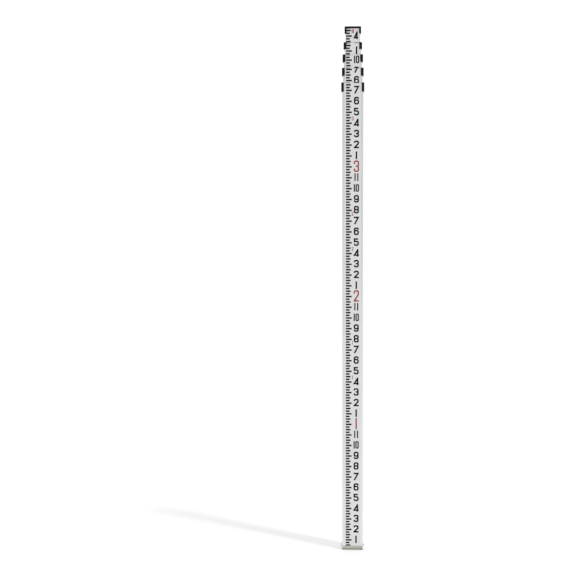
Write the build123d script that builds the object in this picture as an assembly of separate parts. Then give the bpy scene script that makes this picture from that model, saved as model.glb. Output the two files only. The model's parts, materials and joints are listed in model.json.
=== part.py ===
from build123d import *
import os

# Telescoping levelling rod in five rectangular aluminium sections, shown collapsed and standing on its foot.
# Millimetres. +Z is up the rod, the graduated face looks along -Y and the lock buttons along +Y.
# The origin is the bottom centre of the foot, which is also the zero of the scale.
# Section 1 is the outer tube and section 5 the innermost one.

# --- section tubes --------------------------------------------------------------------------------------
SECTION_COUNT = 5
OUTER_WIDTH = 49.2           # section 1, across the graduated face
OUTER_DEPTH = 32.0           # section 1, front to back
WALL = 1.1
SIDE_STEP = 1.85             # from the side of one section to the side of the next
FRONT_STEP = 1.85            # from one graduated face to the next
REAR_STEP = 2.3              # from one back to the next: the gap there takes the lock buttons
FRONT_RADIUS = 1.4           # outside corners beside the graduated face
REAR_RADIUS = 5.0            # outside corners at the back
LEAST_RADIUS = 0.5           # corners of the outlines inside the tubes

# Height of the top of each collar, and of the cap, above the ground when the rod is collapsed.
COLLAR_TOP = {1: 1109.0, 2: 1143.1, 3: 1174.3, 4: 1202.5}
COLLAR_HEIGHT = {1: 21.0, 2: 18.4, 3: 17.6, 4: 15.9}
ROD_TOP = 1239.2

# How far each section pulls out of the one outside it. The joints use the same numbers.
TRAVEL = {2: 866.0, 3: 968.7, 4: 969.3, 5: 955.9}

# --- scale strips ---------------------------------------------------------------------------------------
STRIP_THICKNESS = 0.15       # let into the face, so that it lies flush
STRIP_WIDTH = 38.0           # on section 1
STRIP_WIDTH_STEP = 1.6       # each further section's strip is this much narrower

# --- collars and cap ------------------------------------------------------------------------------------
COLLAR_SIDE = {1: 2.3, 2: 2.6, 3: 3.0, 4: 2.6}    # wall beside the tube
COLLAR_FACE = 1.6            # wall behind the tube, and the lips in front of it
COLLAR_LIP = {1: 3.7, 2: 4.0, 3: 3.7, 4: 4.1}     # how far a lip reaches over the graduated face
COLLAR_RIM = 1.5             # rim that covers the end of the tube
RIM_CLEARANCE = 0.3          # between the rim and the section that slides through it
EDGE_ROUND = 0.5
CAP_PLATE = 4.5              # closed top of the cap
CAP_HEIGHT = 16.4
CAP_SIDE = 2.1
CAP_LIP = 2.5
CAP_SPIGOT = 12.0            # plug of the cap that goes into the tube
CAP_SPIGOT_WALL = 2.0

# --- rivets and screws ----------------------------------------------------------------------------------
RIVET_RADIUS = 1.5
RIVET_HEAD_RADIUS = 2.9
RIVET_HEAD = 1.2             # depth of the countersunk head
RIVET_UPSET = 0.3            # how far the closed end stands inside the tube
RIVET_SPACING = 0.24         # each collar rivet's place to the side, as a share of the section's width
SCREW_RADIUS = 1.75
SCREW_HEAD_RADIUS = 3.5
SCREW_HEAD = 2.65
SCREW_HEAD_ROUND = 1.6
SCREW_LENGTH = 9.0
SCREW_RECESS_RADIUS = 1.2
SCREW_RECESS = 1.3

# --- foot -----------------------------------------------------------------------------------------------
SOLE_THICKNESS = 3.0
SOLE_PROUD = 0.2             # the sole's edge outside the outline of section 1
SOLE_CHAMFER = 0.4
WAIST_INSET = 0.5            # groove between the sole and the tube
TUBE_BOTTOM = 4.0            # where the tube of section 1 ends on the shoe
TONGUE_TOP = 10.0            # the shoe shows in front up to here, through a notch in the tube
TONGUE_HALF = 23.4           # half the width of that notch, which leaves the side walls whole
SPIGOT_TOP = 16.0
BUFFER_TOP = 18.0            # rubber pad that the inner sections stand on
BUFFER_GAP = 0.4             # between the pad and the tube
SHOE_SCREW_HEIGHT = 7.8
FIT_GAP = 0.1                # between a fixed plug or spigot and its tube

# --- guide plugs, lock buttons and their springs ----------------------------------------------------------
PLUG_HEIGHT = 31.0           # from the bottom of one inner section to the bottom of the next
PLUG_FLANGE = 4.0
GUIDE_CLEARANCE = 0.25       # between the plug's flange and the tube that it slides in
PLUG_RIVET_HEIGHT = 25.0     # above the bottom of the plug
PLUG_RIVET_LENGTH = 7.0
BUTTON_HEIGHT = 15.0         # above the bottom of the plug
BUTTON_RADIUS = 4.0
BUTTON_GUIDE_RADIUS = 4.1    # hole in the section that carries the button
LOCK_HOLE_RADIUS = 4.3       # holes in the section outside, for the two locked positions
BUTTON_PROUD = 0.2           # how far a pressed button stands out of its own section
BUTTON_TRAVEL = 3.1
BUTTON_FLANGE_RADIUS = 5.3
BUTTON_FLANGE = 1.2
BUTTON_BORE_RADIUS = 5.5
BUTTON_STOP_GAP = 0.02
SPRING_SPACE = 6.0           # length of the spring while the button is pressed
SPRING_RADIUS = 3.1          # to the middle of the wire
SPRING_WIRE_RADIUS = 0.35
SPRING_TURNS = 4.5
SPRING_END_GAP = 0.05
SPIGOT_RADIUS = 1.7          # peg on the button that centres the spring
SPIGOT_LENGTH = 2.0

INNER_SECTIONS = range(2, SECTION_COUNT + 1)


def half_width(section):
    return OUTER_WIDTH / 2 - SIDE_STEP * (section - 1)


def front_y(section):
    return -OUTER_DEPTH / 2 + FRONT_STEP * (section - 1)


def rear_y(section):
    return OUTER_DEPTH / 2 - REAR_STEP * (section - 1)


def plug_bottom(section):
    return BUFFER_TOP + PLUG_HEIGHT * (section - 2)


def tube_bottom(section):
    if section == 1:
        return TUBE_BOTTOM
    return plug_bottom(section) + PLUG_FLANGE


def tube_top(section):
    if section == SECTION_COUNT:
        return ROD_TOP - CAP_PLATE
    return COLLAR_TOP[section] - COLLAR_RIM


def button_height(section):
    return plug_bottom(section) + BUTTON_HEIGHT


def outline(section, side, face):
    """Outside outline of a section's tube, grown by side at its sides and by face at its front and back."""
    width = 2 * (half_width(section) + side)
    low = front_y(section) - face
    high = rear_y(section) + face
    shape = Pos(0, (low + high) / 2) * Rectangle(width, high - low)
    shape = fillet(shape.vertices().group_by(Axis.Y)[0], max(FRONT_RADIUS + face, LEAST_RADIUS))
    return fillet(shape.vertices().group_by(Axis.Y)[-1], max(REAR_RADIUS + face, LEAST_RADIUS))


def prism(shape, low, high):
    return Pos(0, 0, low) * extrude(shape, high - low)


def block(half, y_low, y_high, z_low, z_high):
    centre = Pos(0, (y_low + y_high) / 2, (z_low + z_high) / 2)
    return centre * Box(2 * half, y_high - y_low, z_high - z_low)


def rod_along_y(radius, x, y_low, y_high, z):
    return Pos(x, (y_low + y_high) / 2, z) * Rot(90, 0, 0) * Cylinder(radius, y_high - y_low)


def rod_along_x(radius, x_low, x_high, y, z):
    return Pos((x_low + x_high) / 2, y, z) * Rot(0, 90, 0) * Cylinder(radius, x_high - x_low)


def rivet_places(section, z):
    """Places of the two rivets that hold a collar or the cap to the back of its section."""
    offset = RIVET_SPACING * 2 * half_width(section)
    return [(-offset, z), (offset, z)]


def rivet_outer_y(section):
    return rear_y(section) + COLLAR_FACE


def collar_rivet(section, x, z):
    outer = rivet_outer_y(section)
    inner = rear_y(section) - WALL - RIVET_UPSET
    cone = Rot(-90, 0, 0) * Cone(RIVET_RADIUS, RIVET_HEAD_RADIUS, RIVET_HEAD)
    head = Pos(x, outer - RIVET_HEAD / 2, z) * cone
    return head + rod_along_y(RIVET_RADIUS, x, inner, outer - RIVET_HEAD / 2, z)


def collar_rivets(section, z):
    return [collar_rivet(section, x, height) for x, height in rivet_places(section, z)]


def collar_middle(section):
    return COLLAR_TOP[section] - COLLAR_HEIGHT[section] / 2


def cap_rivet_height():
    return ROD_TOP - CAP_PLATE - (CAP_HEIGHT - CAP_PLATE) / 2


def section_tube(section):
    low = tube_bottom(section)
    high = tube_top(section)
    tube = prism(outline(section, 0, 0) - outline(section, -WALL, -WALL), low, high)
    tube -= strip_block(section)
    rear = rear_y(section)
    if section < SECTION_COUNT:
        for height in (button_height(section + 1), button_height(section + 1) + TRAVEL[section + 1]):
            tube -= rod_along_y(LOCK_HOLE_RADIUS, 0, rear - 2 * WALL, rear + WALL, height)
        rivets = rivet_places(section, collar_middle(section))
    else:
        rivets = rivet_places(section, cap_rivet_height())
    for x, z in rivets:
        tube -= rod_along_y(RIVET_RADIUS, x, rear - 2 * WALL, rear + WALL, z)
    if section == 1:
        front = front_y(section)
        tube -= block(TONGUE_HALF, front - WALL, front + 2 * WALL, low, TONGUE_TOP)
        tube -= rod_along_x(SCREW_RADIUS, -OUTER_WIDTH, OUTER_WIDTH, 0, SHOE_SCREW_HEIGHT)
    else:
        tube -= rod_along_y(BUTTON_GUIDE_RADIUS, 0, rear - 2 * WALL, rear + WALL, button_height(section))
        tube -= rod_along_x(RIVET_RADIUS, -OUTER_WIDTH, OUTER_WIDTH, *plug_rivet_place(section))
    return tube


def strip_block(section):
    """Thin strip let into the front of a section, which carries the graduations."""
    half = (STRIP_WIDTH - STRIP_WIDTH_STEP * (section - 1)) / 2
    low = TONGUE_TOP if section == 1 else tube_bottom(section)
    front = front_y(section)
    return block(half, front, front + STRIP_THICKNESS, low, tube_top(section))


def open_front(section, lip, z_low, z_high):
    """Space between the two lips of a collar or of the cap."""
    half = half_width(section) - lip
    front = front_y(section)
    reach = FRONT_STEP + WALL
    return block(half, front - 2 * COLLAR_FACE, front + reach, z_low, z_high)


def sleeve(section, side, z_low, z_high):
    """Rounded body of a collar or of the cap, before the tube's space is cut from it."""
    body = prism(outline(section, side, COLLAR_FACE), z_low, z_high)
    ends = body.edges().group_by(Axis.Z)
    return fillet(ends[0] + ends[-1], EDGE_ROUND)


def collar(section):
    high = COLLAR_TOP[section]
    low = high - COLLAR_HEIGHT[section]
    body = sleeve(section, COLLAR_SIDE[section], low, high)
    body -= prism(outline(section, 0, 0), low, high - COLLAR_RIM)
    body -= prism(outline(section + 1, RIM_CLEARANCE, RIM_CLEARANCE), low, high)
    body -= open_front(section, COLLAR_LIP[section], low, high)
    for rivet in collar_rivets(section, collar_middle(section)):
        body -= rivet
    return body


def top_cap():
    section = SECTION_COUNT
    low = ROD_TOP - CAP_HEIGHT
    plate = ROD_TOP - CAP_PLATE
    body = sleeve(section, CAP_SIDE, low, ROD_TOP)
    body -= prism(outline(section, 0, 0), low, plate)
    body -= open_front(section, CAP_LIP, low, plate)
    outer = -WALL - FIT_GAP
    inner = outer - CAP_SPIGOT_WALL
    spigot = outline(section, outer, outer) - outline(section, inner, inner)
    body += prism(spigot, plate - CAP_SPIGOT, plate)
    for rivet in collar_rivets(section, cap_rivet_height()):
        body -= rivet
    return body


def foot_shoe():
    sole = prism(outline(1, SOLE_PROUD, SOLE_PROUD), 0, SOLE_THICKNESS)
    sole = chamfer(sole.edges().group_by(Axis.Z)[0], SOLE_CHAMFER)
    waist = prism(outline(1, -WAIST_INSET, -WAIST_INSET), SOLE_THICKNESS, TUBE_BOTTOM)
    spigot = prism(outline(1, -WALL - FIT_GAP, -WALL - FIT_GAP), TUBE_BOTTOM, SPIGOT_TOP)
    front = front_y(1)
    tongue = block(TONGUE_HALF - FIT_GAP, front, front + 2 * WALL, TUBE_BOTTOM, TONGUE_TOP)
    shoe = sole + waist + spigot + tongue
    for side in (-1, 1):
        inner = half_width(1) - SCREW_LENGTH
        ends = sorted((side * inner, side * OUTER_WIDTH))
        shoe -= rod_along_x(SCREW_RADIUS, *ends, 0, SHOE_SCREW_HEIGHT)
    return shoe


def foot_buffer():
    return prism(outline(1, -WALL - BUFFER_GAP, -WALL - BUFFER_GAP), SPIGOT_TOP, BUFFER_TOP)


def foot_screws():
    """Two pan-head screws, one in each side, that hold the tube to the shoe."""
    face = half_width(1)
    tip = face + SCREW_HEAD
    head = rod_along_x(SCREW_HEAD_RADIUS, face, tip, 0, SHOE_SCREW_HEIGHT)
    head = fillet(head.edges().filter_by(GeomType.CIRCLE).sort_by(Axis.X)[-1], SCREW_HEAD_ROUND)
    head -= rod_along_x(SCREW_RECESS_RADIUS, tip - SCREW_RECESS, tip + SCREW_RECESS, 0, SHOE_SCREW_HEIGHT)
    screw = head + rod_along_x(SCREW_RADIUS, face - SCREW_LENGTH, face, 0, SHOE_SCREW_HEIGHT)
    return [screw, mirror(screw, about=Plane.YZ)]


def plug_rivet_place(section):
    """Depth and height of the two rivets that hold a guide plug in its tube."""
    return (front_y(section) + rear_y(section)) / 2, plug_bottom(section) + PLUG_RIVET_HEIGHT


def plug_rivets(section):
    y, z = plug_rivet_place(section)
    face = half_width(section)
    rivets = []
    for side in (-1, 1):
        ends = sorted((side * (face - PLUG_RIVET_LENGTH), side * face))
        rivets.append(rod_along_x(RIVET_RADIUS, *ends, y, z))
    return rivets


def bore_floor_y(section):
    inside = rear_y(section) - WALL
    return inside - BUTTON_STOP_GAP - BUTTON_TRAVEL - BUTTON_FLANGE - SPRING_SPACE


def guide_plug(section):
    low = plug_bottom(section)
    top = low + PLUG_FLANGE
    flange = prism(outline(section - 1, -WALL - GUIDE_CLEARANCE, -WALL - GUIDE_CLEARANCE), low, top)
    body = prism(outline(section, -WALL - FIT_GAP, -WALL - FIT_GAP), top, low + PLUG_HEIGHT)
    plug = flange + body
    plug -= rod_along_y(BUTTON_BORE_RADIUS, 0, bore_floor_y(section), rear_y(section), button_height(section))
    for rivet in plug_rivets(section):
        plug -= rivet
    return plug


def lock_button(section):
    """Button pressed in: its flange stands a full travel behind the tube's inside face."""
    z = button_height(section)
    tip = rear_y(section) + BUTTON_PROUD
    flange_top = rear_y(section) - WALL - BUTTON_STOP_GAP - BUTTON_TRAVEL
    flange_bottom = flange_top - BUTTON_FLANGE
    head = rod_along_y(BUTTON_RADIUS, 0, flange_top, tip, z)
    head = fillet(head.edges().filter_by(GeomType.CIRCLE).sort_by(Axis.Y)[-1], EDGE_ROUND)
    flange = rod_along_y(BUTTON_FLANGE_RADIUS, 0, flange_bottom, flange_top, z)
    peg = rod_along_y(SPIGOT_RADIUS, 0, flange_bottom - SPIGOT_LENGTH, flange_bottom, z)
    return head + flange + peg


def button_spring(section):
    """Compression spring between the floor of the plug's bore and the button's flange."""
    rise = SPRING_SPACE - 2 * (SPRING_WIRE_RADIUS + SPRING_END_GAP)
    start = bore_floor_y(section) + SPRING_WIRE_RADIUS + SPRING_END_GAP
    coil = Helix(rise / SPRING_TURNS, rise, SPRING_RADIUS)
    wire = sweep(Plane(coil @ 0, z_dir=coil % 0) * Circle(SPRING_WIRE_RADIUS), path=coil)
    return Pos(0, start, button_height(section)) * Rot(-90, 0, 0) * wire


def write(node, shapes):
    """Write one node: a single shape, or a list of separate solids such as fasteners."""
    if isinstance(shapes, list):
        shapes = Compound(children=[shape.solid() for shape in shapes])
    export_step(shapes, f"parts/{node}.step")


def build():
    os.makedirs("parts", exist_ok=True)
    for section in range(1, SECTION_COUNT + 1):
        write(f"section_{section}_tube", section_tube(section))
        write(f"section_{section}_scale", strip_block(section))
    for section in range(1, SECTION_COUNT):
        write(f"section_{section}_collar", collar(section))
        write(f"section_{section}_collar_rivets", collar_rivets(section, collar_middle(section)))
    for section in INNER_SECTIONS:
        write(f"section_{section}_plug", guide_plug(section))
        write(f"section_{section}_plug_rivets", plug_rivets(section))
        write(f"section_{section}_button", lock_button(section))
        write(f"section_{section}_button_spring", button_spring(section))
    write("top_cap", top_cap())
    write("top_cap_rivets", collar_rivets(SECTION_COUNT, cap_rivet_height()))
    write("foot_shoe", foot_shoe())
    write("foot_buffer", foot_buffer())
    write("foot_screws", foot_screws())


build()
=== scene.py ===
"""Looks of a telescoping levelling rod: its printed scale, finishes, studio and camera.

Metres and degrees. +Z is up the rod, the graduated face looks along -Y, and the foot is at the origin.
"""
import json
import math

import bmesh
import bpy
from mathutils import Matrix, Vector

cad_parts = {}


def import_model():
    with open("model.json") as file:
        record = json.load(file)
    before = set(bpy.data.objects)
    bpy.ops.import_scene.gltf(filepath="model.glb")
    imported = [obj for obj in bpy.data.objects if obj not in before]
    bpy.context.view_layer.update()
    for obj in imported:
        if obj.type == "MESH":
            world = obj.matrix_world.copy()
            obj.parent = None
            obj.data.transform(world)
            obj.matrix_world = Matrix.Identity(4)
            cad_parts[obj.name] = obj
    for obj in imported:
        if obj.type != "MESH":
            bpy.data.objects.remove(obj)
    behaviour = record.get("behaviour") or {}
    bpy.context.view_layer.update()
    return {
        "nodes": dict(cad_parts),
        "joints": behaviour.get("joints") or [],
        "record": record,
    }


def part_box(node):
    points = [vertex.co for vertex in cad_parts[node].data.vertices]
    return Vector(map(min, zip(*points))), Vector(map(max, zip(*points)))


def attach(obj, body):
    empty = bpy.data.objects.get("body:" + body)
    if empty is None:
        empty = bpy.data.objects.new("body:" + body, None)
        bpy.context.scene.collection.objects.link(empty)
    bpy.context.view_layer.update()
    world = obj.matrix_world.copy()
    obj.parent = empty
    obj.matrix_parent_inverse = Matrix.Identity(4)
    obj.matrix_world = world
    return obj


MM = 0.001
INCH = 25.4 * MM
FOOT = 12 * INCH

# --- printed scale --------------------------------------------------------------------------------
DIVISION = INCH / 4                  # a block and a gap, each about an eighth of an inch
BLOCK_HEIGHT = 3.8 * MM              # printed a little heavy
BLOCKS_LEFT = -15.7 * MM             # left edge of every block
QUARTER_LENGTH = 8.7 * MM            # of a block at a quarter inch, a half inch and a whole one
HALF_LENGTH = 10.9 * MM
INCH_LENGTH = 13.5 * MM
INK = 0.06 * MM                      # how far the print stands out of the enamel
OVERPRINT = 0.012 * MM               # a figure's second stroke is this much thinner than its first
NUMERAL_COLUMN = (8.7 * MM, 12.1 * MM)         # middle and width of the inch and foot numerals
LAST_NUMERAL_COLUMN = (7.3 * MM, 10.3 * MM)    # the same on the innermost section
INCH_NUMERAL_HEIGHT = 18.0 * MM
INCH_STROKE = 3.6 * MM
FOOT_NUMERAL_HEIGHT = 26.8 * MM
FOOT_STROKE = 3.1 * MM
PAIR_STROKE = 0.80                   # in numbers of two figures: the stroke, as a share of a single's
PAIR_WIDTH = 0.66                    # the width of a figure, as a share of the whole number's
PAIR_GAP = 0.12                      # and the gap between the two
ONES_GAP = 0.30                      # the gap in 11
REPEAT_LEFT = -2.7 * MM              # left edge of the small foot numerals repeated between the feet
REPEAT_WIDTH = 4.5 * MM
REPEAT_GAP = 0.8 * MM
REPEAT_HEIGHT = 9.0 * MM
REPEAT_STROKE = 1.3 * MM
REPEAT_OFFSETS = (4.375 * INCH, 7.625 * INCH)    # above each foot mark
END_MARGIN = 0.05 * MM               # print stops this far from the end of a strip

# --- shape of the figures -------------------------------------------------------------------------
CORNER_SHARE = 0.24                  # corner radius, as a share of the width
TAIL_SHARE = 0.30                    # reach of a figure's open ends, as a share of the height
WAIST_SHARE = 0.58                   # height of the waist of 5 and 6
TWO_BEND = 0.6                       # height at which the back of 2 turns into its slope
FOUR_STEM = 0.3                      # the stem of 4 stands this share of a stroke in from the right
FOUR_BAR = 0.2                       # height of its bar, as a share of the figure's
FOUR_PEAK = 0.6                      # its slope starts this share of a stroke below the top
FOUR_POINT = 0.4                     # and ends this share of a stroke from the left
FOUR_OVERHANG = 0.8                  # its bar goes on past the stem by this share of a stroke
SEVEN_FOOT = 0.16                    # where the slope of 7 ends, as a share of the width
ARC_STEPS = 7                        # segments in a quarter turn
MITRE_LIMIT = 0.5                    # the smallest cosine that a corner's mitre follows

# --- finishes -------------------------------------------------------------------------------------
SOLE_SHADE_END = 3.3 * MM                 # the shoe's bottom few millimetres are painted darker as shade, and this is where that painted shade ends
SOLE_SHADE_FULL = 2.5 * MM                # from here down the painted shade is at its darkest

# --- camera and light -----------------------------------------------------------------------------
CAMERA_DISTANCE = 3.004              # from the graduated face
CAMERA_HEIGHT = 0.8444
CAMERA_LENS = 79.68
CAMERA_PITCH = 4.112                 # degrees below the horizon
CAMERA_YAW = 2.908                   # degrees to the left of the rod
CAMERA_ROLL = -0.155
DOME_STRENGTH = 0.70                 # light that the white studio gives the object
BACKDROP_STRENGTH = 1.05             # the same studio as the camera sees it
FLOOR_GLOW = 0.23                    # lifts the floor to the white of the backdrop
KEY_STRENGTH = 0.6
KEY_AZIMUTH = 35.0                   # degrees from +X towards the front
KEY_ELEVATION = 62.0
KEY_ANGLE = 4.0                      # apparent size of the key light, which softens its shadow
FLOOR_HALF = 9.0                     # half the side of the floor
CLIP_START = 0.05
CLIP_END = 60.0


# --- mesh helpers ---------------------------------------------------------------------------------
def new_piece(name, mesh, material, body):
    piece = bpy.data.objects.new(name, mesh)
    bpy.context.scene.collection.objects.link(piece)
    mesh.materials.append(material)
    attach(piece, body)
    return piece


def trim(bm, low, high):
    """Cuts a print off at both ends of its strip and closes the cuts."""
    for height, up in ((low, -1), (high, 1)):
        whole = bm.verts[:] + bm.edges[:] + bm.faces[:]
        place = (0, 0, height)
        normal = (0, 0, up)
        cut = bmesh.ops.bisect_plane(bm, geom=whole, plane_co=place, plane_no=normal, clear_outer=True)
        rim = [e for e in cut["geom_cut"] if isinstance(e, bmesh.types.BMEdge)]
        if rim:
            bmesh.ops.holes_fill(bm, edges=rim, sides=0)


def finished_mesh(name, bm):
    bmesh.ops.recalc_face_normals(bm, faces=bm.faces)
    mesh = bpy.data.meshes.new(name)
    bm.to_mesh(mesh)
    bm.free()
    return mesh


def add_prism_strip(bm, left, right, face_y, lift, closed):
    """Solid ribbon between two lines of (x, z) points, standing lift out of the face at face_y."""
    rings = []
    for (left_x, left_z), (right_x, right_z) in zip(left, right):
        rings.append([
            bm.verts.new((left_x, face_y, left_z)),
            bm.verts.new((left_x, face_y - lift, left_z)),
            bm.verts.new((right_x, face_y - lift, right_z)),
            bm.verts.new((right_x, face_y, right_z)),
        ])
    pairs = list(zip(rings, rings[1:]))
    if closed:
        pairs.append((rings[-1], rings[0]))
    for start, end in pairs:
        for i in range(4):
            k = (i + 1) % 4
            bm.faces.new((start[i], start[k], end[k], end[i]))
    if not closed:
        bm.faces.new(rings[0])
        bm.faces.new(reversed(rings[-1]))


def add_stroke(bm, points, width, face_y, lift, closed=False):
    """Stroke of constant width along a line of (x, z) points, with mitred corners."""
    line = [Vector(p) for p in points]
    count = len(line)
    left = []
    right = []
    for i, point in enumerate(line):
        before = line[i - 1] if i > 0 or closed else None
        after = line[(i + 1) % count] if i < count - 1 or closed else None
        into = (point - before).normalized() if before is not None else (after - point).normalized()
        out = (after - point).normalized() if after is not None else into
        along = (into + out).normalized()
        across = Vector((-along.y, along.x))
        reach = width / 2 / max(along.dot(into), MITRE_LIMIT)
        left.append(point + across * reach)
        right.append(point - across * reach)
    add_prism_strip(bm, left, right, face_y, lift, closed)


# --- figures --------------------------------------------------------------------------------------
def arc(centre, radius, start, end):
    """Points of an arc from one angle to another, in degrees, anticlockwise from +X."""
    steps = max(2, round(abs(end - start) / 90 * ARC_STEPS))
    points = []
    for i in range(steps + 1):
        angle = math.radians(start + (end - start) * i / steps)
        points.append((centre[0] + radius * math.cos(angle), centre[1] + radius * math.sin(angle)))
    return points


class Cell:
    """The space of one boxy figure, with its corner at (0, 0), and what its strokes are made of."""

    def __init__(self, width, height, stroke):
        self.width = width
        self.height = height
        self.stroke = stroke
        self.left = stroke / 2
        self.right = width - stroke / 2
        self.low = stroke / 2
        self.high = height - stroke / 2
        self.middle = height / 2
        self.waist = height * WAIST_SHARE
        self.turn = CORNER_SHARE * width
        self.tail = height * TAIL_SHARE

    def left_arc(self, level, start, end):
        return arc((self.left + self.turn, level), self.turn, start, end)

    def right_arc(self, level, start, end):
        return arc((self.right - self.turn, level), self.turn, start, end)

    def top(self):
        """Up the left side, over the top and down to the right side."""
        level = self.high - self.turn
        return self.left_arc(level, 180, 90) + self.right_arc(level, 90, 0)

    def bottom(self):
        """Down the right side, under the bottom and up to the left side."""
        level = self.low + self.turn
        return self.right_arc(level, 0, -90) + self.left_arc(level, 270, 180)

    def ring(self, low, high):
        """Rounded rectangle between two levels."""
        points = self.right_arc(high - self.turn, 90, 0)
        points += self.right_arc(low + self.turn, 0, -90)
        points += self.left_arc(low + self.turn, -90, -180)
        points += self.left_arc(high - self.turn, 180, 90)
        return points


# Each figure is a list of strokes, and a stroke is its centre line and whether that is closed.
def zero(cell):
    return [(cell.ring(cell.low, cell.high), True)]


def one(cell):
    return [([(cell.width / 2, cell.height), (cell.width / 2, 0)], False)]


def two(cell):
    hook = [(cell.left, cell.height - cell.tail)] + cell.top()
    hook += [(cell.right, cell.height * TWO_BEND), (cell.left, cell.low)]
    base = [(0, cell.low), (cell.width, cell.low)]
    return [(hook, False), (base, False)]


def three(cell):
    notch = [(cell.left + cell.turn, cell.middle)]
    upper = [(cell.left, cell.height - cell.tail)] + cell.top()
    upper += cell.right_arc(cell.middle + cell.turn, 0, -90) + notch
    lower = notch + cell.right_arc(cell.middle - cell.turn, 90, 0)
    lower += cell.bottom() + [(cell.left, cell.tail)]
    return [(upper, False), (lower, False)]


def four(cell):
    stem = cell.right - cell.stroke * FOUR_STEM
    bar = cell.height * FOUR_BAR
    slope = [
        (stem, cell.height - cell.stroke * FOUR_PEAK),
        (cell.stroke * FOUR_POINT, bar),
        (stem + cell.stroke * FOUR_OVERHANG, bar),
    ]
    return [(slope, False), ([(stem, cell.height), (stem, 0)], False)]


def five(cell):
    line = [(cell.right, cell.high), (cell.left, cell.high), (cell.left, cell.waist)]
    line += cell.right_arc(cell.waist - cell.turn, 90, 0)
    line += cell.bottom() + [(cell.left, cell.tail)]
    return [(line, False)]


def six(cell):
    back = [(cell.right, cell.height - cell.tail)] + cell.top()[::-1]
    back += [(cell.left, cell.waist - cell.turn)]
    return [(cell.ring(cell.low, cell.waist), True), (back, False)]


def seven(cell):
    return [([(0, cell.high), (cell.right, cell.high), (cell.width * SEVEN_FOOT, 0)], False)]


def eight(cell):
    return [(cell.ring(cell.low, cell.middle), True), (cell.ring(cell.middle, cell.high), True)]


def nine(cell):
    """A six turned upside down."""
    turned = []
    for points, closed in six(cell):
        turned.append(([(cell.width - x, cell.height - z) for x, z in points], closed))
    return turned


FIGURES = (zero, one, two, three, four, five, six, seven, eight, nine)


def add_figure(bm, figure, corner, width, height, stroke, face_y):
    strokes = FIGURES[int(figure)](Cell(width, height, stroke))
    for k, (points, closed) in enumerate(strokes):
        placed = [(corner[0] + px, corner[1] + pz) for px, pz in points]
        add_stroke(bm, placed, stroke, face_y, INK - k * OVERPRINT, closed)


def add_figures(bm, figures, widths, gap, left, z, height, stroke, face_y):
    """Figures side by side from a left edge, centred on height z."""
    for figure, width in zip(figures, widths):
        add_figure(bm, figure, (left, z - height / 2), width, height, stroke, face_y)
        left += width + gap


def add_numeral(bm, number, column, z, height, stroke, face_y):
    """A large numeral. Two figures share the width of one, and a 1 is only as wide as its stroke."""
    figures = str(number)
    middle, width = column
    widths = [width]
    gap = 0
    if len(figures) > 1:
        stroke = stroke * PAIR_STROKE
        widths = [stroke if figure == "1" else width * PAIR_WIDTH for figure in figures]
        gap = width * (ONES_GAP if figures == "11" else PAIR_GAP)
    left = middle - (sum(widths) + gap) / 2
    add_figures(bm, figures, widths, gap, left, z, height, stroke, face_y)


def add_repeat(bm, number, z, face_y):
    """A small foot numeral between the feet. In a pair the figures are narrower."""
    figures = str(number)
    if len(figures) > 1:
        widths = [REPEAT_STROKE if figure == "1" else REPEAT_WIDTH * PAIR_WIDTH for figure in figures]
        left = REPEAT_LEFT
    else:
        widths = [REPEAT_STROKE if figures == "1" else REPEAT_WIDTH]
        left = REPEAT_LEFT + (REPEAT_WIDTH - widths[0]) / 2
    add_figures(bm, figures, widths, REPEAT_GAP, left, z, REPEAT_HEIGHT, REPEAT_STROKE, face_y)


# --- scale on one section -------------------------------------------------------------------------
def division_length(division):
    if division % 4 == 0:
        return INCH_LENGTH
    if division % 2 == 0:
        return HALF_LENGTH
    return QUARTER_LENGTH


def scale_blocks(section, low, high, face_y, offset, material):
    bm = bmesh.new()
    first = math.ceil((low + offset) / DIVISION)
    last = math.floor((high + offset + DIVISION / 2) / DIVISION)
    for division in range(first, last + 1):
        middle = division * DIVISION - DIVISION / 4 - offset
        bottom = middle - BLOCK_HEIGHT / 2
        top = middle + BLOCK_HEIGHT / 2
        right = BLOCKS_LEFT + division_length(division)
        edge_left = [(BLOCKS_LEFT, bottom), (right, bottom)]
        edge_right = [(BLOCKS_LEFT, top), (right, top)]
        add_prism_strip(bm, edge_left, edge_right, face_y, INK, False)
    trim(bm, low, high)
    name = f"section_{section}_scale_blocks"
    new_piece(name, finished_mesh(name, bm), material, f"section_{section}")


def scale_numbers(section, column, low, high, face_y, offset, black, red):
    inches = bmesh.new()
    feet = bmesh.new()
    first = math.floor((low + offset) / INCH)
    last = math.ceil((high + offset) / INCH)
    for inch in range(max(first, 1), last + 1):
        z = inch * INCH - offset
        if inch % 12 == 0:
            add_numeral(feet, inch // 12, column, z, FOOT_NUMERAL_HEIGHT, FOOT_STROKE, face_y)
        else:
            add_numeral(inches, inch % 12, column, z, INCH_NUMERAL_HEIGHT, INCH_STROKE, face_y)
    for foot in range(1, math.floor((high + offset) / FOOT) + 1):
        for above in REPEAT_OFFSETS:
            z = foot * FOOT + above - offset
            if low < z < high:
                add_repeat(feet, foot, z, face_y)
    for part, bm, material in (("inch", inches, black), ("foot", feet, red)):
        trim(bm, low, high)
        name = f"section_{section}_{part}_numerals"
        new_piece(name, finished_mesh(name, bm), material, f"section_{section}")


def printed_scale(frame, black, red):
    """Blocks and numerals on every section, which reads its height plus the travel below it."""
    travel = {j["child"]: j["range_m"][1] for j in frame["joints"] if j["child"].startswith("section_")}
    last = len(travel) + 1
    offset = 0.0
    for section in range(1, last + 1):
        offset += travel.get(f"section_{section}", 0.0)
        low_corner, high_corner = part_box(f"section_{section}_scale")
        low = low_corner.z + END_MARGIN
        high = high_corner.z - END_MARGIN
        scale_blocks(section, low, high, low_corner.y, offset, black)
        column = LAST_NUMERAL_COLUMN if section == last else NUMERAL_COLUMN
        scale_numbers(section, column, low, high, low_corner.y, offset, black, red)


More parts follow.
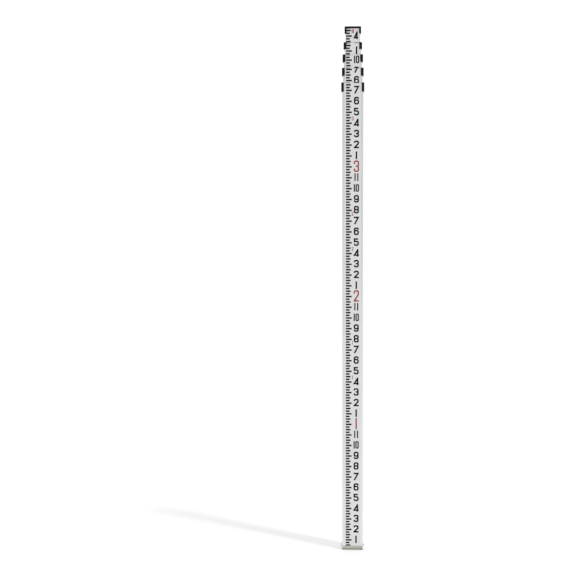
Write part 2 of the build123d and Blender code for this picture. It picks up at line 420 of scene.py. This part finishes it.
# --- materials ------------------------------------------------------------------------------------
class Finish:
    """A Principled material with short calls for the procedural detail that it carries."""

    def __init__(self, name, color, roughness, metallic=0.0):
        self.material = bpy.data.materials.new(name)
        self.material.use_nodes = True
        self.nodes = self.material.node_tree.nodes
        self.links = self.material.node_tree.links
        self.shader = self.nodes["Principled BSDF"]
        self.color = color
        self.shader.inputs["Base Color"].default_value = (*color, 1)
        self.shader.inputs["Roughness"].default_value = roughness
        self.shader.inputs["Metallic"].default_value = metallic
        self.place = self.nodes.new("ShaderNodeTexCoord").outputs["Object"]
        self.normal = None
        self.tint = None

    def noise(self, scale, detail=4.0, stretch=(1, 1, 1)):
        mapping = self.nodes.new("ShaderNodeMapping")
        mapping.inputs["Scale"].default_value = stretch
        self.links.new(self.place, mapping.inputs["Vector"])
        noise = self.nodes.new("ShaderNodeTexNoise")
        noise.inputs["Scale"].default_value = scale
        noise.inputs["Detail"].default_value = detail
        self.links.new(mapping.outputs["Vector"], noise.inputs["Vector"])
        return noise.outputs["Fac"]

    def ramp(self, value, low, high, low_at=0.3, high_at=0.7):
        """Maps a value in [low_at, high_at] smoothly to [low, high]."""
        node = self.nodes.new("ShaderNodeMapRange")
        node.interpolation_type = "SMOOTHSTEP"
        node.inputs["From Min"].default_value = low_at
        node.inputs["From Max"].default_value = high_at
        node.inputs["To Min"].default_value = low
        node.inputs["To Max"].default_value = high
        self.links.new(value, node.inputs["Value"])
        return node.outputs["Result"]

    def vary_roughness(self, value, low, high):
        self.links.new(self.ramp(value, low, high), self.shader.inputs["Roughness"])

    def mix(self, factor, color):
        """Lays another colour over what is there so far, where factor says."""
        node = self.nodes.new("ShaderNodeMix")
        node.data_type = "RGBA"
        colors = [s for s in node.inputs if s.type == "RGBA"]
        if self.tint is None:
            colors[0].default_value = (*self.color, 1)
        else:
            self.links.new(self.tint, colors[0])
        colors[1].default_value = (*color, 1)
        self.links.new(factor, node.inputs["Factor"])
        self.tint = [s for s in node.outputs if s.type == "RGBA"][0]
        self.links.new(self.tint, self.shader.inputs["Base Color"])

    def bump(self, height, distance, strength=1.0):
        node = self.nodes.new("ShaderNodeBump")
        node.inputs["Distance"].default_value = distance
        node.inputs["Strength"].default_value = strength
        self.links.new(height, node.inputs["Height"])
        if self.normal is not None:
            self.links.new(self.normal, node.inputs["Normal"])
        self.normal = node.outputs["Normal"]
        self.links.new(self.normal, self.shader.inputs["Normal"])

    def height_fade(self, zero_at, one_at):
        """0 at one height and 1 at the other, in the object's own frame."""
        split = self.nodes.new("ShaderNodeSeparateXYZ")
        self.links.new(self.place, split.inputs["Vector"])
        return self.ramp(split.outputs["Z"], 0.0, 1.0, zero_at, one_at)


def anodised_aluminium():
    finish = Finish("anodised_aluminium", (0.80, 0.81, 0.81), 0.34, 1.0)
    grain = finish.noise(220, 5, (9, 9, 0.12))
    finish.vary_roughness(grain, 0.27, 0.44)
    finish.mix(finish.ramp(finish.noise(14, 3), 0.0, 0.35), (0.71, 0.72, 0.73))
    finish.mix(finish.ramp(finish.noise(60, 6, (7, 7, 0.3)), 0.0, 0.5, 0.62, 0.72), (0.63, 0.64, 0.65))
    finish.bump(grain, 0.02 * MM, 0.6)
    return finish.material


def white_enamel():
    finish = Finish("white_enamel", (0.78, 0.79, 0.79), 0.3)
    finish.shader.inputs["Coat Weight"].default_value = 0.25
    finish.shader.inputs["Coat Roughness"].default_value = 0.12
    finish.mix(finish.ramp(finish.noise(9, 4), 0.0, 0.5), (0.73, 0.745, 0.745))
    finish.mix(finish.ramp(finish.noise(900, 3), 0.0, 0.5, 0.70, 0.78), (0.50, 0.49, 0.46))
    finish.vary_roughness(finish.noise(40, 5, (1, 1, 0.2)), 0.24, 0.38)
    finish.bump(finish.noise(700, 2), 0.01 * MM, 0.5)
    return finish.material


def black_plastic():
    finish = Finish("black_plastic", (0.005, 0.005, 0.0055), 0.42)
    finish.shader.inputs["Specular IOR Level"].default_value = 0.12
    grain = finish.noise(2400, 3)
    finish.vary_roughness(finish.noise(90, 4), 0.34, 0.5)
    finish.mix(finish.ramp(finish.noise(160, 5), 0.0, 0.6), (0.014, 0.014, 0.015))
    finish.bump(grain, 0.04 * MM, 0.6)
    return finish.material


def ink(name, color, worn):
    finish = Finish(name, color, 0.38)
    finish.shader.inputs["Specular IOR Level"].default_value = 0.1
    finish.mix(finish.ramp(finish.noise(1300, 4), 0.0, 0.3, 0.70, 0.80), worn)
    finish.vary_roughness(finish.noise(300, 3), 0.3, 0.46)
    finish.bump(finish.noise(1800, 2), 0.006 * MM, 0.5)
    return finish.material


def cast_shoe():
    finish = Finish("cast_shoe", (0.55, 0.54, 0.485), 0.42, 0.7)
    finish.mix(finish.ramp(finish.noise(120, 6), 0.0, 0.7), (0.45, 0.44, 0.39))
    # painted shade: the shoe's bottom few millimetres are darkened towards the floor
    sole_shade = finish.height_fade(SOLE_SHADE_END, SOLE_SHADE_FULL)
    finish.mix(sole_shade, (0.29, 0.285, 0.25))
    finish.vary_roughness(finish.noise(260, 5), 0.32, 0.6)
    finish.bump(finish.noise(900, 5), 0.05 * MM, 0.7)
    return finish.material


def bright_metal(name, color, roughness, metallic=1.0):
    finish = Finish(name, color, roughness, metallic)
    finish.vary_roughness(finish.noise(800, 4), roughness - 0.08, roughness + 0.12)
    darker = tuple(0.7 * c for c in color)
    finish.mix(finish.ramp(finish.noise(400, 4), 0.0, 0.6), darker)
    finish.bump(finish.noise(2500, 2), 0.01 * MM, 0.5)
    return finish.material


def guide_nylon():
    finish = Finish("guide_nylon", (0.03, 0.03, 0.031), 0.5)
    finish.vary_roughness(finish.noise(200, 4), 0.42, 0.6)
    finish.mix(finish.ramp(finish.noise(500, 5), 0.0, 0.5), (0.05, 0.05, 0.05))
    finish.bump(finish.noise(1500, 4), 0.03 * MM, 0.6)
    return finish.material


def buffer_rubber():
    finish = Finish("buffer_rubber", (0.025, 0.025, 0.025), 0.72)
    finish.vary_roughness(finish.noise(300, 4), 0.64, 0.85)
    finish.mix(finish.ramp(finish.noise(600, 5), 0.0, 0.5), (0.045, 0.044, 0.042))
    finish.bump(finish.noise(1200, 4), 0.05 * MM, 0.7)
    return finish.material


def dress_cad_nodes(frame):
    """Gives every CAD node the finish of its material slot."""
    finishes = {
        "anodised_aluminium": anodised_aluminium(),
        "white_enamel": white_enamel(),
        "black_plastic": black_plastic(),
        "guide_nylon": guide_nylon(),
        "button_metal": bright_metal("button_brass", (0.70, 0.53, 0.25), 0.3),
        "spring_steel": bright_metal("spring_steel", (0.42, 0.42, 0.43), 0.35),
        "rivet_steel": bright_metal("rivet_aluminium", (0.66, 0.66, 0.66), 0.36),
        "screw_steel": bright_metal("screw_zinc", (0.68, 0.68, 0.66), 0.3),
        "cast_shoe": cast_shoe(),
        "buffer_rubber": buffer_rubber(),
    }
    for row in frame["record"]["subparts"]:
        node = frame["nodes"][row["node"]]
        node.data.materials.clear()
        node.data.materials.append(finishes[row["material_slot"]])


# --- studio ---------------------------------------------------------------------------------------
def studio_floor():
    mesh = bpy.data.meshes.new("floor")
    signs = ((-1, -1), (1, -1), (1, 1), (-1, 1))
    mesh.from_pydata([(x * FLOOR_HALF, y * FLOOR_HALF, 0) for x, y in signs], [], [(0, 1, 2, 3)])
    floor = bpy.data.objects.new("floor", mesh)
    bpy.context.scene.collection.objects.link(floor)
    finish = Finish("floor_white", (0.93, 0.93, 0.93), 0.7)
    finish.shader.inputs["Emission Color"].default_value = (1, 1, 1, 1)
    finish.shader.inputs["Emission Strength"].default_value = FLOOR_GLOW
    finish.mix(finish.ramp(finish.noise(3, 3), 0.0, 0.2), (0.925, 0.925, 0.925))
    mesh.materials.append(finish.material)


def key_light():
    data = bpy.data.lights.new("key", "SUN")
    data.energy = KEY_STRENGTH
    data.angle = math.radians(KEY_ANGLE)
    light = bpy.data.objects.new("key", data)
    bpy.context.scene.collection.objects.link(light)
    across = math.cos(math.radians(KEY_ELEVATION))
    side = across * math.cos(math.radians(KEY_AZIMUTH))
    front = -across * math.sin(math.radians(KEY_AZIMUTH))
    towards = Vector((side, front, math.sin(math.radians(KEY_ELEVATION))))
    light.rotation_euler = towards.to_track_quat("Z", "Y").to_euler()


def studio_light():
    world = bpy.data.worlds.new("studio")
    bpy.context.scene.world = world
    world.use_nodes = True
    nodes = world.node_tree.nodes
    links = world.node_tree.links
    dome = nodes["Background"]
    dome.inputs["Color"].default_value = (1, 1, 1, 1)
    dome.inputs["Strength"].default_value = DOME_STRENGTH
    backdrop = nodes.new("ShaderNodeBackground")
    backdrop.inputs["Color"].default_value = (1, 1, 1, 1)
    backdrop.inputs["Strength"].default_value = BACKDROP_STRENGTH
    ray = nodes.new("ShaderNodeLightPath")
    choice = nodes.new("ShaderNodeMixShader")
    links.new(ray.outputs["Is Camera Ray"], choice.inputs["Fac"])
    links.new(dome.outputs["Background"], choice.inputs[1])
    links.new(backdrop.outputs["Background"], choice.inputs[2])
    links.new(choice.outputs["Shader"], nodes["World Output"].inputs["Surface"])
    key_light()


def studio_camera():
    data = bpy.data.cameras.new("camera")
    data.lens = CAMERA_LENS
    data.clip_start = CLIP_START
    data.clip_end = CLIP_END
    camera = bpy.data.objects.new("camera", data)
    bpy.context.scene.collection.objects.link(camera)
    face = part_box("section_1_scale")[0].y
    turn = Matrix.Rotation(math.radians(CAMERA_YAW), 4, "Z")
    tilt = Matrix.Rotation(math.radians(90 - CAMERA_PITCH), 4, "X")
    roll = Matrix.Rotation(math.radians(CAMERA_ROLL), 4, "Z")
    place = Matrix.Translation((0, face - CAMERA_DISTANCE, CAMERA_HEIGHT))
    camera.matrix_world = place @ turn @ tilt @ roll
    bpy.context.scene.camera = camera


def build():
    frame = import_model()
    studio_camera()
    studio_floor()
    studio_light()
    dress_cad_nodes(frame)
    black = ink("scale_ink_black", (0.006, 0.006, 0.0065), (0.12, 0.12, 0.12))
    red = ink("scale_ink_red", (0.36, 0.018, 0.018), (0.50, 0.16, 0.15))
    printed_scale(frame, black, red)
    bpy.context.scene.view_settings.view_transform = "Standard"


build()
